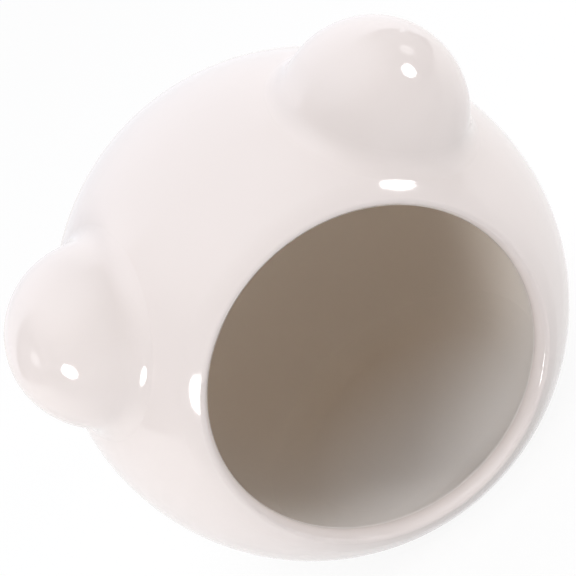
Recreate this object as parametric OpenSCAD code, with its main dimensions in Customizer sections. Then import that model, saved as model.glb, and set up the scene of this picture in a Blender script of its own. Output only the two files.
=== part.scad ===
// Ceramic hamster house: one slip-cast hollow ball with two round ears,
// one large round mouth and a small flat foot. Millimetres, +Z up.
// The origin is the centre of the flat foot and the mouth faces -Y.

/* [Body] */
// Outer diameter of the ball
body_d = 100; // [90:1:120]
// Thickness of the cast wall
wall = 4; // [3:0.25:5]
// How much the flat foot takes off the bottom of the ball
foot_cut = 11; // [8:0.5:14]
// Radius of the rounding between the foot and the ball
foot_round = 7; // [6:0.5:9]
// Radius of the rounding inside, where the slip ran between floor and wall
floor_round = 12; // [8:1:12]

/* [Mouth] */
// Clear diameter of the mouth
mouth_d = 58.7; // [48:0.1:62]
// Radius of the lip on the side of the opening
lip_inner_r = 3.1; // [2.8:0.1:3.3]
// Radius of the lip's small outer corner
lip_outer_r = 0.75; // [0.6:0.05:0.9]
// Radius of the outside where it eases down to the lip
lip_ease_r = 15; // [12:1:18]
// How far that ease turns before it meets the outer corner
lip_ease_angle = 13; // [11:1:15]

/* [Ears] */
// Outer diameter of each round ear
ear_d = 33; // [26:0.5:36]
// Depth of the ear's centre below the surface of the ball
ear_sink = 4.5; // [2:0.5:7]
// Radius of the hollow fillet between an ear and the ball
ear_fillet = 5.4; // [4:0.1:6]
// Height of the ears above the level of the ball's centre, in degrees
ear_rise = 40.6; // [38:0.1:48]
// Half the angle between the ears, seen from above
ear_spread = 59; // [57:0.5:64]
// Turn of the pair of ears against the mouth, seen from above
ear_turn = 5; // [0:0.5:6]

/* [Hidden] */
$fn = 128;

body_r = body_d / 2;
cavity_r = body_r - wall;
foot_z = body_r - foot_cut;
mouth_r = mouth_d / 2;
ear_r = ear_d / 2;
ear_reach = body_r - ear_sink;
// Angle at which a rounding runs into the ball, in place of a bare touch
run_in = 3;
// Reach of the cutting shapes past the surfaces that they cut
past = 10;
glaze = [0.95, 0.93, 0.92];

// Point at a distance from the axis's origin, turned from the axis
function polar(dist, turn) = [dist * sin(turn), dist * cos(turn)];
// Third side of a triangle from two sides and the angle between them
function far_side(a, b, between) = sqrt(a * a + b * b - 2 * a * b * cos(between));
// Angle between the sides a and b of a triangle with the third side c
function corner(a, b, c) = acos((a * a + b * b - c * c) / (2 * a * b));

// The lip, in a half plane through the mouth's axis. Its inner arc touches the
// cavity, its outer corner touches that arc, and the ease touches the ball.
inner_dist = cavity_r + lip_inner_r;
inner_turn = asin((mouth_r + lip_inner_r) / inner_dist);
inner_c = polar(inner_dist, inner_turn);
ease_dist = body_r - lip_ease_r;
outer_dist = far_side(ease_dist, lip_ease_r - lip_outer_r, 180 - lip_ease_angle);
outer_turn = inner_turn - corner(inner_dist, outer_dist, lip_inner_r - lip_outer_r);
outer_c = polar(outer_dist, outer_turn);
ease_turn = outer_turn + corner(outer_dist, ease_dist, lip_ease_r - lip_outer_r);
ease_c = polar(ease_dist, ease_turn);
// Direction from the inner arc's centre to the outer corner's, from the axis
crest_turn = atan2(outer_c[0] - inner_c[0], outer_c[1] - inner_c[1]);

// The rounding inside stays smaller than the one that would reach the lip
round_margin = 1;
round_limit = (foot_z - wall - cavity_r * sin(inner_turn)) / (1 - sin(inner_turn));
inside_round = max(round_margin, min(floor_round, round_limit - round_margin));

// Circle about a point of the half plane, kept on its side of the axis
module disc(centre, r) {
    intersection() {
        translate(centre) circle(r = r);
        translate([0, -2 * body_d]) square([2 * body_d, 4 * body_d]);
    }
}

// Slice of a disc between two directions, measured from the axis
module slice(centre, r, from, to) {
    intersection() {
        disc(centre, r);
        polygon([
            centre,
            centre + polar(2 * r, from),
            centre + polar(2 * r, (from + to) / 2),
            centre + polar(2 * r, to)
        ]);
    }
}

// Ball closed at the mouth, with the outside eased down to the lip
module eased_ball() {
    rotate([90, 0, 0]) rotate_extrude() {
        difference() {
            disc([0, 0], body_r);
            polygon([
                [0, 0],
                polar(2 * body_r, ease_turn),
                polar(2 * body_r, 0)
            ]);
        }
        slice(ease_c, lip_ease_r, ease_turn, ease_turn - lip_ease_angle);
        slice(outer_c, lip_outer_r, ease_turn - lip_ease_angle, crest_turn);
        polygon([
            [0, 0],
            ease_c,
            outer_c,
            inner_c + polar(lip_inner_r, crest_turn),
            [0, outer_c[1]]
        ]);
    }
}

// Round cavity with the way out through the lip
module cavity_and_mouth() {
    rotate([90, 0, 0]) rotate_extrude() {
        disc([0, 0], cavity_r);
        difference() {
            polygon([
                [0, 0],
                inner_c,
                inner_c + polar(past, crest_turn),
                [0, body_r + past]
            ]);
            translate(inner_c) circle(r = lip_inner_r);
        }
    }
}

// Round ear with its hollow fillet, down into a ball of radius ball_r
module ear_form(ball_r, dome_r, fillet_r) {
    fillet_dist = far_side(ball_r, fillet_r, 180 - run_in);
    fillet_turn = corner(ear_reach, fillet_dist, dome_r + fillet_r);
    fillet_c = polar(fillet_dist, fillet_turn);
    dome_c = [0, ear_reach];
    seat_turn = atan2(fillet_c[0], fillet_c[1] - ear_reach);
    rotate_extrude() {
        slice(dome_c, dome_r, 0, seat_turn);
        difference() {
            polygon([
                [0, ball_r / 2],
                polar(ball_r / 2, fillet_turn),
                fillet_c,
                dome_c
            ]);
            translate(fillet_c) circle(r = fillet_r);
        }
    }
}

// The pair of ears about a ball of radius ball_r
module ear_pair(ball_r, dome_r, fillet_r) {
    for (side = [-1, 1])
        rotate([0, 0, side * ear_spread - ear_turn])
            rotate([90 - ear_rise, 0, 0])
                ear_form(ball_r, dome_r, fillet_r);
}

// What the flat foot and its rounding take off a ball of radius ball_r
module foot_cutter(ball_r, drop, round_r) {
    round_dist = far_side(ball_r, round_r, run_in);
    round_z = drop - round_r;
    round_c = [sqrt(round_dist * round_dist - round_z * round_z), -round_z];
    ray = polar(round_r + past, atan2(round_c[0], round_c[1]));
    low = -ball_r - past;
    rotate_extrude() difference() {
        polygon([
            [0, low],
            [0, -drop],
            [round_c[0], -drop],
            round_c,
            round_c + ray,
            [round_c[0] + ray[0], low]
        ]);
        translate(round_c) circle(r = round_r);
    }
}

// The whole house, cast in one piece with an even wall and a softer floor
module house_shell() {
    color(glaze) translate([0, 0, foot_z]) difference() {
        union() {
            eased_ball();
            ear_pair(body_r, ear_r, ear_fillet);
        }
        foot_cutter(body_r, foot_z, foot_round);
        difference() {
            union() {
                cavity_and_mouth();
                ear_pair(cavity_r, ear_r - wall, ear_fillet + wall);
            }
            foot_cutter(cavity_r, foot_z - wall, inside_round);
        }
    }
}

house_shell();
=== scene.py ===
"""Looks for the ceramic hamster house: its glaze, the studio floor, the lamps and the camera."""

import math
from typing import NamedTuple

import bpy
from mathutils import Matrix, Vector

bl_info = {
    "name": "Ceramic hamster house",
    "version": (1, 0, 0),
    "blender": (4, 5, 0),
    "location": "3D View > Sidebar > Hamster House",
    "description": "Glazes a slip-cast hamster house and sets it on a plain studio floor",
    "category": "Object",
}

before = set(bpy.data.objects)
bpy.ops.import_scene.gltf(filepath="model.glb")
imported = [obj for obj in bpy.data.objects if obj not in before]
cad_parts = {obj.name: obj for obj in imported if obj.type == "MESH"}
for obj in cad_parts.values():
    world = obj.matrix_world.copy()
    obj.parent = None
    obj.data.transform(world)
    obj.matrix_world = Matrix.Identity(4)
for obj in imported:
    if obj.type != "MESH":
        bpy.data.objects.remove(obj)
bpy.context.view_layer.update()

# Sizes of the shell, which rests on its foot, straight below the ball's centre
SHELL = "house_shell"
MM = 0.001
BALL_R = 50 * MM
BALL_CENTRE = Vector((0.0, 0.0, 39 * MM))
WALL = 4 * MM
EAR_R = 16.5 * MM
EAR_REACH = 45.5 * MM
EAR_RISE = math.radians(40.6)
EAR_SPREAD = 59
EAR_TURN = 5
EAR_TURNS = (math.radians(EAR_SPREAD - EAR_TURN), math.radians(-EAR_SPREAD - EAR_TURN))

# Clouds in the glaze, where it lies thicker and thinner, and the slow swell of its surface
CLOUD_SIZE = 22 * MM
CLOUD_DETAIL = 3.0
CLOUD_ROUGHNESS = 0.5
SWELL_SIZE = 7 * MM
SWELL_DETAIL = 2.0
SWELL_ROUGHNESS = 0.4
SWELL_HEIGHT = 0.02 * MM
GLAZE_IOR = 1.5

# Where the inner wall's matt zone begins, which also carries painted light and shade: by the lip and in the
# rest of the ball's wall, as distances from the ball's centre, with the depth where that rest begins, and in
# the middle of the ears' wall
LIP_SPLIT = (46.9 * MM, 46.4 * MM)
WALL_SPLIT = (48.1 * MM, 47.9 * MM)
BEHIND_LIP = (-30.1 * MM, -29.9 * MM)
EAR_MIDDLE = EAR_R - 0.5 * WALL
EAR_SPLIT = (EAR_MIDDLE + 0.2 * MM, EAR_MIDDLE - 0.2 * MM)

# Depth over which painted warm shade deepens towards the back of the cavity, and height up to which the glaze
# is wiped off the foot
PAINTED_SHADE_RUN = (-20 * MM, 35 * MM)
FOOT_WIPE = (0.25 * MM, 0.1 * MM)

# The picture, the camera, and the plain white of the ground
PICTURE_PX = 576.0
SENSOR_WIDTH = 36.0
CLIP_START = 0.01
WHITE = (1.0, 1.0, 1.0, 1.0)

# The floor: half its width, the tone of the light that it gives back to the house, and the tone and the
# share of plain white that it shows. In the glaze it darkens along FLOOR_END, in front of the house.
FLOOR_REACH = 3.0
FLOOR_TONE = (0.55, 0.55, 0.55, 1.0)
FLOOR_SHOWN_TONE = (0.96, 0.96, 0.96, 1.0)
FLOOR_WHITE_SHARE = 0.9
FLOOR_END = (-80 * MM, -110 * MM)
FLOOR_BEYOND = 0.45

# The surroundings, told by the parts X, Y and Z of the direction in which they lie. The sheet's side edges
# hang where Y is SHEET_SPREAD times the size of X, with a dark hem, and its top fades in towards overhead.
SHEET_SPREAD = 0.6
SHEET_EDGE = (-0.01, 0.01)
SHEET_OVERHEAD = (0.55, 1.0)
SHEET_BEHIND = (0.1, 0.5)
SHEET_RAISED = (0.1, 0.75)
HEM_MIDDLE = 0.015
HEM_HALF_WIDTH = 0.03
HEM_TOP = (0.8, 0.5)
HEM_SHADE = 0.15
ROOM_RAISED = (0.25, 0.8)

# The Mix node's sockets share their names, so they go by number: the factor, two plain values, and two
# colours with their result
FACTOR, VALUE_A, VALUE_B, COLOUR_A, COLOUR_B, COLOUR_OUT = 0, 2, 3, 6, 7, 2


def linear(hex_colour):
    """Turns an sRGB hex colour into the linear colour, with full alpha, that the shaders take."""
    channels = [int(hex_colour[i:i + 2], 16) / 255.0 for i in (1, 3, 5)]
    lit = [c / 12.92 if c <= 0.04045 else ((c + 0.055) / 1.055) ** 2.4 for c in channels]
    return (*lit, 1.0)


def add_node(tree, kind, inputs=(), **settings):
    """Adds a node. Its inputs come in the order of its sockets, or by a socket's name or number.

    Each is a value, another node's output, or another node, which stands for its first output."""
    node = tree.nodes.new(kind)
    for name, value in settings.items():
        setattr(node, name, value)
    for socket, value in inputs.items() if isinstance(inputs, dict) else enumerate(inputs):
        if isinstance(value, bpy.types.Node):
            value = value.outputs[0]
        if isinstance(value, bpy.types.NodeSocket):
            tree.links.new(value, node.inputs[socket])
        else:
            node.inputs[socket].default_value = value
    return node


def new_material(name):
    """An empty node material and its output node."""
    material = bpy.data.materials.new(name)
    material.use_nodes = True
    material.node_tree.nodes.clear()
    output = material.node_tree.nodes.new("ShaderNodeOutputMaterial")
    return material, material.node_tree, output


class GlazeSettings(bpy.types.PropertyGroup):
    """Colours and finish of the fired and glazed ceramic, with painted light and shade on the cavity's walls.
    """

    outside: bpy.props.FloatVectorProperty(
        name="Outside", description="White gloss glaze with a breath of pink", size=4, subtype="COLOR",
        min=0.0, max=1.0, default=linear("#EBE2DF"))
    outside_thin: bpy.props.FloatVectorProperty(
        name="Outside, thin", description="The same glaze where it lies thinner", size=4, subtype="COLOR",
        min=0.0, max=1.0, default=linear("#E8DFDC"))
    # Painted light: the inner wall is a whiter copy of the glaze, lifted to brighten the cavity
    inside: bpy.props.FloatVectorProperty(
        name="Inside", description="Glaze on the inner wall by the mouth", size=4, subtype="COLOR",
        min=0.0, max=1.0, default=linear("#FAF7F5"))
    # Painted shade: the warmer, creamier colour at the back of the cavity stands in for the warm shade of
    # light bounced inside
    inside_painted_shade: bpy.props.FloatVectorProperty(
        name="Inside, deep", description="The thinner, creamier glaze at the back", size=4, subtype="COLOR",
        min=0.0, max=1.0, default=linear("#F9EBDA"))
    bare_foot: bpy.props.FloatVectorProperty(
        name="Bare foot", description="Fired body where the glaze is wiped off the foot", size=4,
        subtype="COLOR", min=0.0, max=1.0, default=linear("#E6DDD0"))
    outside_roughness: bpy.props.FloatProperty(
        name="Outside roughness", description="Roughness of the gloss glaze", default=0.08,
        min=0.0, max=1.0, subtype="FACTOR")
    inside_roughness: bpy.props.FloatProperty(
        name="Inside roughness", description="Roughness of the inner wall", default=0.5,
        min=0.0, max=1.0, subtype="FACTOR")
    bare_roughness: bpy.props.FloatProperty(
        name="Bare foot roughness", description="Roughness of the unglazed foot", default=0.85,
        min=0.0, max=1.0, subtype="FACTOR")


class StageSettings(bpy.types.PropertyGroup):
    """Camera, surroundings and lamps."""

    camera_distance: bpy.props.FloatProperty(
        name="Camera distance", description="From the ball's centre", default=0.2, unit="LENGTH")
    camera_turn: bpy.props.FloatProperty(
        name="Camera turn", description="Turn about the vertical from the mouth's axis",
        default=math.radians(-1.26), subtype="ANGLE")
    camera_rise: bpy.props.FloatProperty(
        name="Camera rise", description="Height above the horizon",
        default=math.radians(26.76), subtype="ANGLE")
    camera_roll: bpy.props.FloatProperty(
        name="Camera roll", description="Roll of the picture about the view",
        default=math.radians(-40.34), subtype="ANGLE")
    ball_radius_px: bpy.props.FloatProperty(
        name="Ball radius", description="Radius of the ball in the picture", default=258.12,
        subtype="PIXEL")
    centre_px: bpy.props.FloatVectorProperty(
        name="Centre", description="The ball's centre in the picture, in pixels from the upper left",
        size=2, default=(311.48, 303.32))
    sheet_light: bpy.props.FloatProperty(
        name="Sheet's light", description="Brightness of the white sheet behind the house", default=1.62)
    low_light: bpy.props.FloatProperty(
        name="Sheet's light, low", description="Brightness of the sheet's lower part, by the floor",
        default=1.15)
    over_light: bpy.props.FloatProperty(
        name="Light overhead", description="Brightness of the same sheet over the house", default=1.36)
    room_light: bpy.props.FloatProperty(
        name="Room's light", description="Brightness of the room in front of the house", default=0.08)
    ceiling_light: bpy.props.FloatProperty(
        name="Ceiling's light", description="Brightness of the ceiling in front of the sheet",
        default=0.16)
    softbox_light: bpy.props.FloatProperty(
        name="Softboxes' light", description="Factor on the brightness of all the softboxes", default=1.0)
    sheet_colour: bpy.props.FloatVectorProperty(
        name="Sheet's colour", description="Cool white of the sheet", size=4, subtype="COLOR",
        min=0.0, max=1.0, default=linear("#F8FAFF"))
    room_colour: bpy.props.FloatVectorProperty(
        name="Room's colour", description="Warmer white of the room", size=4, subtype="COLOR",
        min=0.0, max=1.0, default=linear("#FFFAF4"))


def pointing(turn, rise):
    """The direction at a turn from the mouth's axis, seen from above, and a rise above the horizon."""
    return Vector((math.sin(turn) * math.cos(rise), -math.cos(turn) * math.cos(rise), math.sin(rise)))


def inner_side(tree, place):
    """1 on the walls of the cavity and 0 on the outside, split along the middle of the cast wall."""
    from_ball = add_node(tree, "ShaderNodeVectorMath", (place, BALL_CENTRE[:]), operation="DISTANCE")
    ball = from_ball.outputs["Value"]
    depth = add_node(tree, "ShaderNodeSeparateXYZ", (place,)).outputs["Y"]
    by_lip = add_node(tree, "ShaderNodeMapRange", (ball, *LIP_SPLIT), interpolation_type="SMOOTHSTEP")
    in_wall = add_node(tree, "ShaderNodeMapRange", (ball, *WALL_SPLIT), interpolation_type="SMOOTHSTEP")
    behind = add_node(tree, "ShaderNodeMapRange", (depth, *BEHIND_LIP), interpolation_type="SMOOTHSTEP")
    elsewhere = add_node(tree, "ShaderNodeMath", (in_wall, behind), operation="MULTIPLY")
    zone = add_node(tree, "ShaderNodeMath", (by_lip, elsewhere), operation="MAXIMUM")
    for turn in EAR_TURNS:
        centre = BALL_CENTRE + EAR_REACH * pointing(turn, EAR_RISE)
        from_ear = add_node(tree, "ShaderNodeVectorMath", (place, centre[:]), operation="DISTANCE")
        ear = from_ear.outputs["Value"]
        in_ear = add_node(tree, "ShaderNodeMapRange", (ear, *EAR_SPLIT), interpolation_type="SMOOTHSTEP")
        zone = add_node(tree, "ShaderNodeMath", (zone, in_ear), operation="MAXIMUM")
    return zone


class HOUSE_OT_glaze(bpy.types.Operator):
    """Glaze the cast shell"""

    bl_idname = "hamster_house.glaze"
    bl_label = "Glaze the shell"

    def execute(self, context):
        settings = context.scene.house_glaze
        # Slip-cast body under a clear gloss glaze: faint clouds where it lies thinner, and a slow
        # swell of the surface, which softens the edges of the highlights
        material, tree, output = new_material("slip_cast_gloss_glaze")
        place = add_node(tree, "ShaderNodeTexCoord").outputs["Object"]
        parts = add_node(tree, "ShaderNodeSeparateXYZ", (place,)).outputs
        inside = inner_side(tree, place)
        clouds = add_node(tree, "ShaderNodeTexNoise", {
            "Vector": place, "Scale": 1.0 / CLOUD_SIZE, "Detail": CLOUD_DETAIL, "Roughness": CLOUD_ROUGHNESS})
        outer = add_node(tree, "ShaderNodeMix", {
            FACTOR: clouds, COLOUR_A: settings.outside_thin, COLOUR_B: settings.outside}, data_type="RGBA")
        # Inside, painted light and shade: the inner wall is a whiter copy of the glaze, and it turns warmer
        # and creamier towards the back as painted shade of the deep cavity
        deep = add_node(tree, "ShaderNodeMapRange", (parts["Y"], *PAINTED_SHADE_RUN), interpolation_type="SMOOTHSTEP")
        inner = add_node(tree, "ShaderNodeMix", {
            FACTOR: deep, COLOUR_A: settings.inside, COLOUR_B: settings.inside_painted_shade}, data_type="RGBA")
        glazed = add_node(tree, "ShaderNodeMix", {
            FACTOR: inside, COLOUR_A: outer.outputs[COLOUR_OUT], COLOUR_B: inner.outputs[COLOUR_OUT]},
            data_type="RGBA")
        gloss = add_node(tree, "ShaderNodeMix", {
            FACTOR: inside, VALUE_A: settings.outside_roughness, VALUE_B: settings.inside_roughness})
        # The foot stands bare on the kiln's shelf, so it is matt and shows the fired body
        bare = add_node(tree, "ShaderNodeMapRange", (parts["Z"], *FOOT_WIPE), interpolation_type="SMOOTHSTEP")
        colour = add_node(tree, "ShaderNodeMix", {
            FACTOR: bare, COLOUR_A: glazed.outputs[COLOUR_OUT], COLOUR_B: settings.bare_foot},
            data_type="RGBA")
        rough = add_node(tree, "ShaderNodeMix", {
            FACTOR: bare, VALUE_A: gloss, VALUE_B: settings.bare_roughness})
        swell = add_node(tree, "ShaderNodeTexNoise", {
            "Vector": place, "Scale": 1.0 / SWELL_SIZE, "Detail": SWELL_DETAIL, "Roughness": SWELL_ROUGHNESS})
        bump = add_node(tree, "ShaderNodeBump", {"Height": swell, "Strength": 1.0, "Distance": SWELL_HEIGHT})
        shader = add_node(tree, "ShaderNodeBsdfPrincipled", {
            "Base Color": colour.outputs[COLOUR_OUT], "Roughness": rough, "IOR": GLAZE_IOR, "Normal": bump})
        tree.links.new(shader.outputs[0], output.inputs["Surface"])
        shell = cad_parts[SHELL]
        shell.data.materials.clear()
        shell.data.materials.append(material)
        return {"FINISHED"}


class Softbox(NamedTuple):
    """One lamp: its way in the camera's right, up and back, its distance, size and brightness."""

    name: str
    way: tuple
    distance: float
    size: tuple
    light: float
    spin: float = 0.0
    mirrored: bool = True


# The first two show as the bright highlights on the ears and beside the mouth, and the side lamps as the
# faint second ones on the ears. The glows stand for the wide light about the first two: they reach into
# the mouth from both sides, and the glaze doesn't mirror them.
SOFTBOXES = (
    Softbox("right_softbox", way=(0.53, 0.625, 0.57), distance=0.5, size=(0.12, 0.12), light=18.0,
            spin=0.6),
    Softbox("left_softbox", way=(-0.50, -0.575, 0.65), distance=0.3, size=(0.085, 0.068), light=19.0,
            spin=0.6),
    Softbox("right_side_lamp", way=(0.45, 0.86, 0.25), distance=0.5, size=(0.10, 0.10), light=2.0),
    Softbox("left_side_lamp", way=(-0.91, -0.34, 0.25), distance=0.5, size=(0.10, 0.10), light=2.0),
    Softbox("left_glow", way=(-0.58, -0.30, 0.76), distance=0.6, size=(0.17, 0.17), light=7.0,
            mirrored=False),
    Softbox("right_glow", way=(0.58, 0.62, 0.52), distance=0.6, size=(0.17, 0.17), light=8.2,
            mirrored=False),
)


class HOUSE_OT_stage(bpy.types.Operator):
    """Set the floor, the lamps and the camera"""

    bl_idname = "hamster_house.stage"
    bl_label = "Set the stage"

    def execute(self, context):
        settings = context.scene.house_stage
        axes = stage_axes(settings)
        place_camera(context.scene, settings, axes)
        lay_floor(context.scene)
        set_surroundings(context.scene, settings)
        for softbox in SOFTBOXES:
            hang_softbox(context.scene, softbox, axes, settings.softbox_light)
        context.scene.view_settings.view_transform = "Standard"
        return {"FINISHED"}


def stage_axes(settings):
    """Right, up and back of the camera, as unit vectors in the model's frame."""
    back = pointing(settings.camera_turn, settings.camera_rise)
    level = Vector((math.cos(settings.camera_turn), math.sin(settings.camera_turn), 0.0))
    above = back.cross(level).normalized()
    roll = settings.camera_roll
    right = math.cos(roll) * level + math.sin(roll) * above
    up = -math.sin(roll) * level + math.cos(roll) * above
    return right, up, back


def place_camera(scene, settings, axes):
    """Looks at the ball's centre, which the lens shift then puts where the picture has it."""
    right, up, back = axes
    data = bpy.data.cameras.new("camera")
    camera = bpy.data.objects.new("camera", data)
    scene.collection.objects.link(camera)
    basis = Matrix((right, up, back)).transposed().to_4x4()
    camera.matrix_world = Matrix.Translation(BALL_CENTRE + back * settings.camera_distance) @ basis
    # The ball's outline is where the view touches it, so its radius gives the focal length
    reach = settings.camera_distance / BALL_R
    focal_px = settings.ball_radius_px * math.sqrt(reach * reach - 1)
    data.sensor_width = SENSOR_WIDTH
    data.lens = focal_px / PICTURE_PX * SENSOR_WIDTH
    data.shift_x = 0.5 - settings.centre_px[0] / PICTURE_PX
    data.shift_y = settings.centre_px[1] / PICTURE_PX - 0.5
    data.clip_start = CLIP_START
    scene.camera = camera


def lay_floor(scene):
    """A wide floor that shows plain white to the camera and in the glaze, and keeps the house's shadow."""
    mesh = bpy.data.meshes.new("floor")
    corners = [(-FLOOR_REACH, -FLOOR_REACH, 0), (FLOOR_REACH, -FLOOR_REACH, 0),
               (FLOOR_REACH, FLOOR_REACH, 0), (-FLOOR_REACH, FLOOR_REACH, 0)]
    mesh.from_pydata(corners, [], [(0, 1, 2, 3)])
    floor = bpy.data.objects.new("floor", mesh)
    scene.collection.objects.link(floor)
    # White studio board: matt and even, and bright enough to hide its own edge
    material, tree, output = new_material("white_studio_floor")
    path = add_node(tree, "ShaderNodeLightPath").outputs
    mirrored = path["Is Glossy Ray"]
    direct = add_node(tree, "ShaderNodeMath", (path["Is Camera Ray"], mirrored), operation="MAXIMUM")
    shown = add_node(tree, "ShaderNodeMath", (direct, path["Is Transmission Ray"]), operation="MAXIMUM")
    place = add_node(tree, "ShaderNodeTexCoord").outputs["Object"]
    depth = add_node(tree, "ShaderNodeSeparateXYZ", (place,)).outputs["Y"]
    beyond = add_node(tree, "ShaderNodeMapRange", (depth, *FLOOR_END), interpolation_type="SMOOTHSTEP")
    darkened = add_node(tree, "ShaderNodeMath", (beyond, mirrored), operation="MULTIPLY")
    strength = add_node(tree, "ShaderNodeMix", {FACTOR: darkened, VALUE_A: 1.0, VALUE_B: FLOOR_BEYOND})
    tone = add_node(tree, "ShaderNodeMix", {
        FACTOR: shown, COLOUR_A: FLOOR_TONE, COLOUR_B: FLOOR_SHOWN_TONE}, data_type="RGBA")
    diffuse = add_node(tree, "ShaderNodeBsdfDiffuse", {"Color": tone.outputs[COLOUR_OUT]})
    plain_white = add_node(tree, "ShaderNodeEmission", {"Color": WHITE, "Strength": strength})
    share = add_node(tree, "ShaderNodeMath", (shown, FLOOR_WHITE_SHARE), operation="MULTIPLY")
    blend = add_node(tree, "ShaderNodeMixShader", (share, diffuse, plain_white))
    tree.links.new(blend.outputs[0], output.inputs["Surface"])
    mesh.materials.append(material)


def set_surroundings(scene, settings):
    """A white sheet hangs behind and over the house, and the room in front of it is darker.

    The glaze mirrors both. Past the floor's far edge, the camera sees plain white all round."""
    world = bpy.data.worlds.new("studio")
    scene.world = world
    world.use_nodes = True
    tree = world.node_tree
    tree.nodes.clear()
    way = add_node(tree, "ShaderNodeTexCoord").outputs["Generated"]
    parts = add_node(tree, "ShaderNodeSeparateXYZ", (way,)).outputs
    depth, height = parts["Y"], parts["Z"]
    # The sheet: everything behind its two side edges, and what lies overhead
    aside = add_node(tree, "ShaderNodeMath", (parts["X"],), operation="ABSOLUTE")
    lean = add_node(tree, "ShaderNodeMath", (aside, -SHEET_SPREAD, depth), operation="MULTIPLY_ADD")
    hung = add_node(tree, "ShaderNodeMapRange", (lean, *SHEET_EDGE), interpolation_type="SMOOTHSTEP")
    over = add_node(tree, "ShaderNodeMapRange", (height, *SHEET_OVERHEAD), interpolation_type="SMOOTHSTEP")
    sheet = add_node(tree, "ShaderNodeMath", (hung, over), operation="MAXIMUM")
    # A dark hem along the side edges, which ends below the part overhead
    on_hem = add_node(tree, "ShaderNodeMath", (lean, HEM_MIDDLE, HEM_HALF_WIDTH), operation="COMPARE")
    below = add_node(tree, "ShaderNodeMapRange", (height, *HEM_TOP), interpolation_type="SMOOTHSTEP")
    hem = add_node(tree, "ShaderNodeMath", (on_hem, below), operation="MULTIPLY")
    hem_shade = add_node(tree, "ShaderNodeMix", {FACTOR: hem, VALUE_A: 1.0, VALUE_B: HEM_SHADE})
    # Brightness of the sheet, which is less overhead and by the floor, and of the room with its ceiling
    behind = add_node(tree, "ShaderNodeMapRange", (depth, *SHEET_BEHIND), interpolation_type="SMOOTHSTEP")
    upper_light = add_node(tree, "ShaderNodeMix", {
        FACTOR: behind, VALUE_A: settings.over_light, VALUE_B: settings.sheet_light})
    raised = add_node(tree, "ShaderNodeMapRange", (height, *SHEET_RAISED), interpolation_type="SMOOTHSTEP")
    sheet_light = add_node(tree, "ShaderNodeMix", {
        FACTOR: raised, VALUE_A: settings.low_light, VALUE_B: upper_light})
    high = add_node(tree, "ShaderNodeMapRange", (height, *ROOM_RAISED), interpolation_type="SMOOTHSTEP")
    room_light = add_node(tree, "ShaderNodeMix", {
        FACTOR: high, VALUE_A: settings.room_light, VALUE_B: settings.ceiling_light})
    light = add_node(tree, "ShaderNodeMix", {FACTOR: sheet, VALUE_A: room_light, VALUE_B: sheet_light})
    shaded = add_node(tree, "ShaderNodeMath", (light, hem_shade), operation="MULTIPLY")
    colour = add_node(tree, "ShaderNodeMix", {
        FACTOR: sheet, COLOUR_A: settings.room_colour, COLOUR_B: settings.sheet_colour}, data_type="RGBA")
    path = add_node(tree, "ShaderNodeLightPath").outputs
    seen = add_node(tree, "ShaderNodeMath", (path["Is Camera Ray"], path["Is Transmission Ray"]),
                    operation="MAXIMUM")
    shown_colour = add_node(tree, "ShaderNodeMix", {
        FACTOR: seen, COLOUR_A: colour.outputs[COLOUR_OUT], COLOUR_B: WHITE}, data_type="RGBA")
    shown_light = add_node(tree, "ShaderNodeMix", {FACTOR: seen, VALUE_A: shaded, VALUE_B: 1.0})
    ambient = add_node(tree, "ShaderNodeBackground", {
        "Color": shown_colour.outputs[COLOUR_OUT], "Strength": shown_light})
    add_node(tree, "ShaderNodeOutputWorld", {"Surface": ambient})


def hang_softbox(scene, softbox, axes, factor):
    """A round area lamp that faces the ball's centre; its light is the brightness that the glaze mirrors."""
    right, up, back = axes
    size_x, size_y = softbox.size
    data = bpy.data.lights.new(softbox.name, "AREA")
    data.shape = "ELLIPSE"
    data.size = size_x
    data.size_y = size_y
    # A flat lamp gives out pi times its brightness for each unit of its area
    area = math.pi / 4 * size_x * size_y
    data.energy = factor * softbox.light * math.pi * area
    lamp = bpy.data.objects.new(softbox.name, data)
    scene.collection.objects.link(lamp)
    lamp.visible_glossy = softbox.mirrored
    toward = (softbox.way[0] * right + softbox.way[1] * up + softbox.way[2] * back).normalized()
    long_side = math.cos(softbox.spin) * right - math.sin(softbox.spin) * up
    across = (long_side - toward * long_side.dot(toward)).normalized()
    facing = Matrix((across, toward.cross(across), toward)).transposed().to_4x4()
    lamp.matrix_world = Matrix.Translation(BALL_CENTRE + toward * softbox.distance) @ facing


class HOUSE_PT_panel(bpy.types.Panel):
    """Lists the steps in the sidebar, each under its settings"""

    bl_label = "Hamster House"
    bl_idname = "HOUSE_PT_panel"
    bl_space_type = "VIEW_3D"
    bl_region_type = "UI"
    bl_category = "Hamster House"

    def draw(self, context):
        steps = (
            (context.scene.house_glaze, HOUSE_OT_glaze),
            (context.scene.house_stage, HOUSE_OT_stage),
        )
        for settings, step in steps:
            for name in type(settings).__annotations__:
                self.layout.prop(settings, name)
            self.layout.operator(step.bl_idname)


CLASSES = (GlazeSettings, StageSettings, HOUSE_OT_glaze, HOUSE_OT_stage, HOUSE_PT_panel)


def register():
    for cls in CLASSES:
        bpy.utils.register_class(cls)
    bpy.types.Scene.house_glaze = bpy.props.PointerProperty(type=GlazeSettings)
    bpy.types.Scene.house_stage = bpy.props.PointerProperty(type=StageSettings)


def unregister():
    del bpy.types.Scene.house_stage
    del bpy.types.Scene.house_glaze
    for cls in reversed(CLASSES):
        bpy.utils.unregister_class(cls)


def main():
    register()
    bpy.ops.hamster_house.glaze()
    bpy.ops.hamster_house.stage()


if __name__ == "__main__":
    main()
